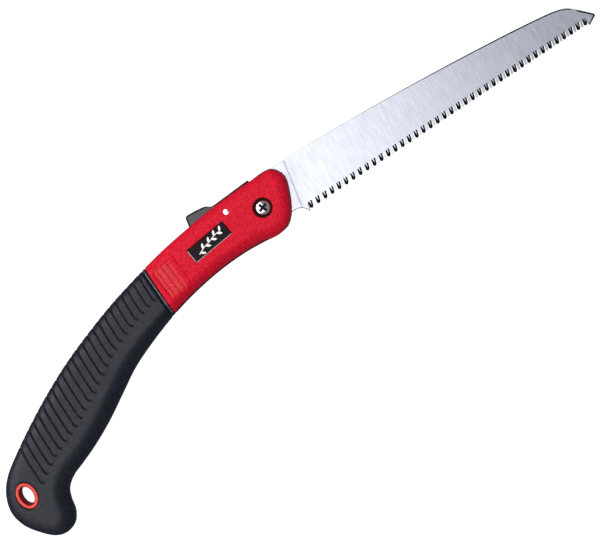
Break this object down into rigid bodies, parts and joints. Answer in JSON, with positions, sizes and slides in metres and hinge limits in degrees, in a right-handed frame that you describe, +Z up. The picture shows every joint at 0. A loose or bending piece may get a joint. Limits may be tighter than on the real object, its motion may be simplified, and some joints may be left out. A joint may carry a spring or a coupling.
{
  "type": "folding pruning saw",
  "caption": "Folding pruning saw with a long pull-stroke blade, a curved rubber grip with a hooked butt, and a thumb lever that locks the blade.",
  "frame": {"origin": "on the surface the saw lies on, under the centre of the box of the opened saw", "axes": "saw open and lying on its right side: +X along the blade to its tip, +Y towards the back of the blade and the spine of the handle, +Z up out of the saw's left side"},
  "size_m": [0.549, 0.1448, 0.023],
  "materials": {
    "red_shell": "fine-grained moulded plastic",
    "grip_rubber": "soft matte rubber",
    "liner_steel": "black oxide",
    "spacer_nylon": "glass-filled nylon",
    "blade_steel": "cross-ground, bright",
    "bright_chrome": "polished",
    "washer_bronze": "plain",
    "pin_steel": "bright",
    "lever_steel": "black oxide",
    "pad_plastic": "moulded black",
    "spring_steel": "spring temper",
    "plate_black": "satin black with a silver motif",
    "eyelet_red": "moulded red",
    "screw_steel": "zinc plated",
    "insert_brass": "turned"
  },
  "bodies": {
    "handle": {"left_shell": "red_shell", "right_shell": "red_shell", "left_grip": "grip_rubber", "right_grip": "grip_rubber", "left_liner": "liner_steel", "right_liner": "liner_steel", "back_spacer": "spacer_nylon", "pivot_screw": "bright_chrome", "pivot_lock_washer": "lever_steel", "pivot_sleeve_nut": "bright_chrome", "left_pivot_washer": "washer_bronze", "right_pivot_washer": "washer_bronze", "stop_pin": "pin_steel", "lever_pin": "pin_steel", "lock_spring": "spring_steel", "nameplate": "plate_black", "lanyard_eyelet": "eyelet_red", "shell_screws": "screw_steel", "shell_inserts": "insert_brass", "grip_screws": "screw_steel", "grip_inserts": "insert_brass"},
    "blade": {"blade": "blade_steel"},
    "lever": {"lock_lever": "lever_steel", "thumb_pad": "pad_plastic"}
  },
  "joints": [
    {"name": "blade_fold", "type": "hinge", "parent": "handle", "child": "blade", "pos_m": [-0.0029, 0.04735, 0.0115], "axis": [0, 0, -1], "range_deg": [0, 155]},
    {"name": "lever_rock", "type": "hinge", "parent": "handle", "child": "lever", "pos_m": [-0.0268, 0.05915, 0.0115], "axis": [0, 0, 1], "range_deg": [-5, 3], "stiffness_Nm_per_rad": 0.5, "deforming": ["lock_spring"]}
  ]
}
